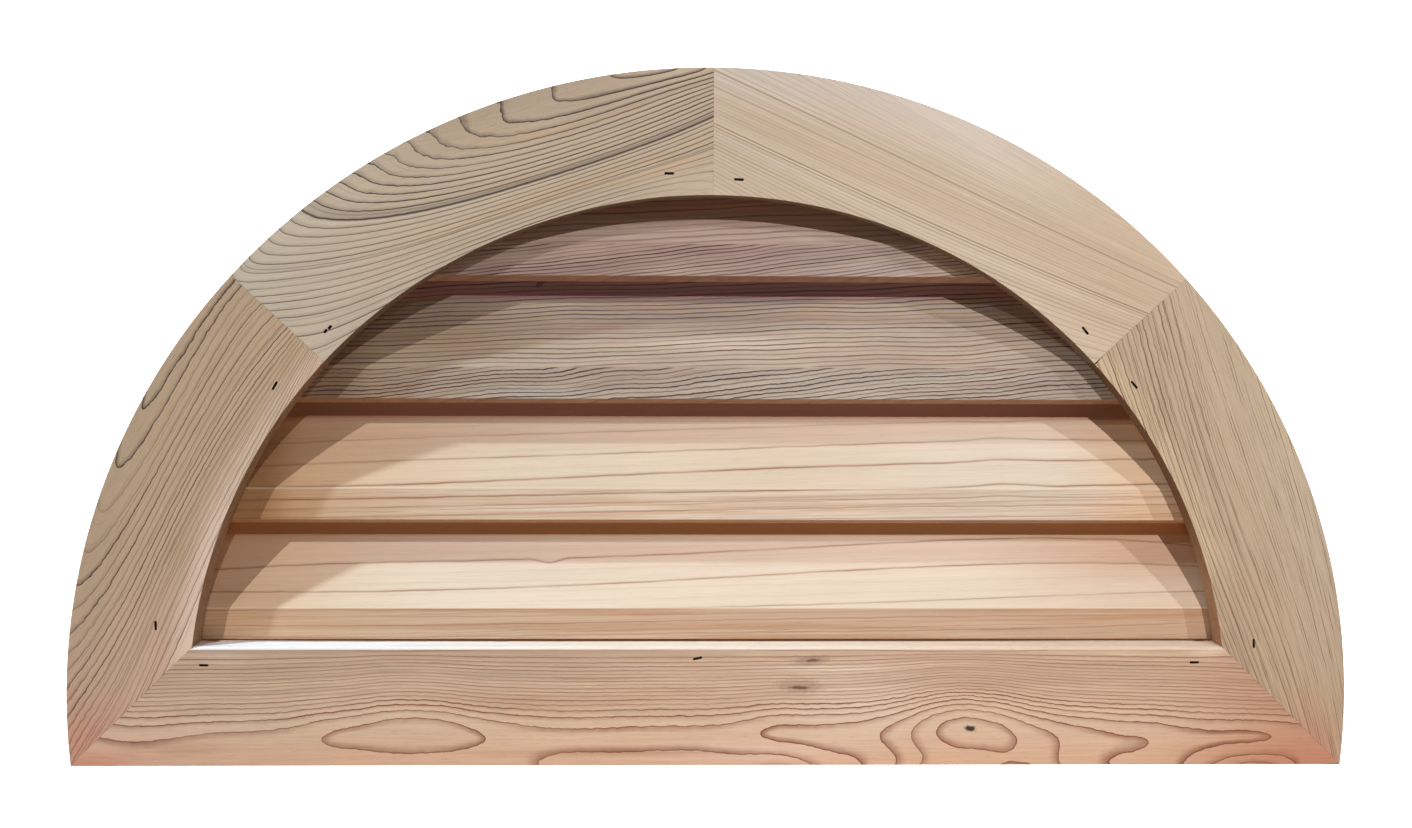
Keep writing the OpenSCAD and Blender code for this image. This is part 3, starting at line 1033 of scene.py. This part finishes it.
def sweep():
    """A floor that curves up into a backdrop."""
    bm = bmesh.new()
    floor_z = CAD_LO.z - 0.0003
    prof = [(-3.5, floor_z), (0.9, floor_z)]
    for i in range(1, 13):
        a = math.radians(90 * i / 12)
        prof.append((0.9 + 1.0 * math.sin(a), floor_z + 1.0 * (1 - math.cos(a))))
    prof.append((1.9, 4.0))
    rows = [[bm.verts.new((x, y, z)) for x in (-5.0, 5.0)] for y, z in prof]
    for a, b in zip(rows, rows[1:]):
        f = bm.faces.new((a[0], a[1], b[1], b[0]))
        f.smooth = True
    me = bpy.data.meshes.new("backdrop")
    bm.to_mesh(me)
    bm.free()
    me.materials.append(STAGE_WHITE)
    o = bpy.data.objects.new("backdrop", me)
    scene.collection.objects.link(o)
    unlit(o)
    return o


def surround():
    """A wide white ball round the whole stage, which lets the light through."""
    bm = bmesh.new()
    bmesh.ops.create_uvsphere(bm, u_segments=32, v_segments=16, radius=9.0)
    me = bpy.data.meshes.new("surround")
    bm.to_mesh(me)
    bm.free()
    me.materials.append(STAGE_WHITE)
    o = bpy.data.objects.new("surround", me)
    scene.collection.objects.link(o)
    o.visible_shadow = False
    unlit(o)


backdrop = sweep()
surround()
only_stage = bpy.data.collections.new("stage_only")
scene.collection.children.link(only_stage)
only_stage.objects.link(backdrop)

# ---------------------------------------------------------------- lights
TARGET = Vector((0.0, -0.003, 0.2085))


def spot(name, travel, strength, colour, aim_x, half, radius, blend=1.0, dist=3.0, aim_z=0.0):
    d = Vector(travel).normalized()
    pos = TARGET - d * dist
    li = bpy.data.lights.new(name, "SPOT")
    li.energy = strength * 4 * math.pi ** 2 * dist ** 2
    li.color = colour
    li.shadow_soft_size = radius
    li.spot_size = 2 * math.radians(half)
    li.spot_blend = blend
    o = bpy.data.objects.new(name, li)
    o.location = pos
    aim = TARGET + Vector((aim_x, 0, aim_z))
    o.rotation_mode = "QUATERNION"
    o.rotation_quaternion = (aim - pos).to_track_quat("-Z", "Y")
    scene.collection.objects.link(o)
    o.light_linking.receiver_collection = objs
    return o


def area(name, place, aim, size, energy, colour, receivers):
    li = bpy.data.lights.new(name, "AREA")
    li.shape, li.size, li.energy, li.color = "DISK", size, energy, colour
    o = bpy.data.objects.new(name, li)
    o.location = place
    o.rotation_mode = "QUATERNION"
    o.rotation_quaternion = (Vector(aim) - Vector(place)).to_track_quat("-Z", "Y")
    scene.collection.objects.link(o)
    o.light_linking.receiver_collection = receivers
    return o


spot("key_right", (-0.231, 1, -0.683), 0.54, (1.0, 0.94, 0.92), 0.8, 27, 0.004)
spot("key_left", (0.961, 1, -1.054), 0.375, (1.0, 0.99, 0.96), -0.9, 27, 0.012)
spot("side_left", (2.90, 1, -2.62), 0.95, (0.67, 0.88, 1.0), -1.1, 28, 0.05)
spot("fill_right", (-1.117, 1, -0.961), 0.28, (0.93, 1.0, 1.08), 0.9, 24, 0.012)
# what the floor sends back up, warmed by the wood
bounce = area("floor_bounce", (0, -1.15, -0.85), (0, 0, 0.25), 1.2, 6.0, (1.0, 0.72, 0.56), objs)
bounce.light_linking.blocker_collection = objs
# the back of the vent, which none of those reach; it shines through the backdrop, and
# so low that little of it comes through between the blades
back = area("back_light", (1.3, 2.2, 0.25), (0, 0, 0.2), 0.6, 26, (1.0, 0.98, 0.95), objs)
back.light_linking.blocker_collection = objs
# the same from the other side, for the ring only, so that the blades' gaps stay dark
ring_only = bpy.data.collections.new("ring_only")
for o in objs.objects:
    if "louver" not in o.name:
        ring_only.objects.link(o)
back2 = area("back_ring_light", (-1.5, 2.2, 0.3), (0, 0, 0.2), 0.6, 34, (1.0, 0.98, 0.95), ring_only)
back2.light_linking.blocker_collection = objs
area("stage_light", (0, -1.2, 3.2), (0, 0.3, 0), 3.0, 200, (1, 1, 1), only_stage)
area("wall_light", (0, -1.6, 1.6), (0, 1.9, 1.6), 2.5, 190, (1, 1, 1), only_stage)

world = bpy.data.worlds.new("world")
scene.world = world
world.use_nodes = True
bg = world.node_tree.nodes["Background"]
bg.inputs["Color"].default_value = (1.0, 0.79, 0.68, 1)
bg.inputs["Strength"].default_value = 0.07

# ---------------------------------------------------------------- camera
PITCH, YAW, ROLL = 0.070, 0.011, -0.003
cam = bpy.data.cameras.new("camera")
cam.lens, cam.sensor_width, cam.sensor_fit = 25.5, 36.0, "HORIZONTAL"
cam.clip_start, cam.clip_end = 0.02, 50
co = bpy.data.objects.new("camera", cam)
scene.collection.objects.link(co)
fwd = Vector((math.sin(YAW) * math.cos(PITCH), math.cos(YAW) * math.cos(PITCH), -math.sin(PITCH)))
right = Vector((math.cos(YAW), -math.sin(YAW), 0))
up = right.cross(fwd)
# roll turns the picture, so the camera turns the other way
cr, sr = math.cos(ROLL), math.sin(ROLL)
right2 = right * cr - up * sr
up2 = right * sr + up * cr
rot = Matrix((right2, up2, -fwd)).transposed()
co.matrix_world = Matrix.Translation(Vector((-0.0113, -0.7391, 0.2764))) @ rot.to_4x4()
scene.camera = co
scene.view_settings.view_transform = "Standard"
scene.view_settings.look = "None"
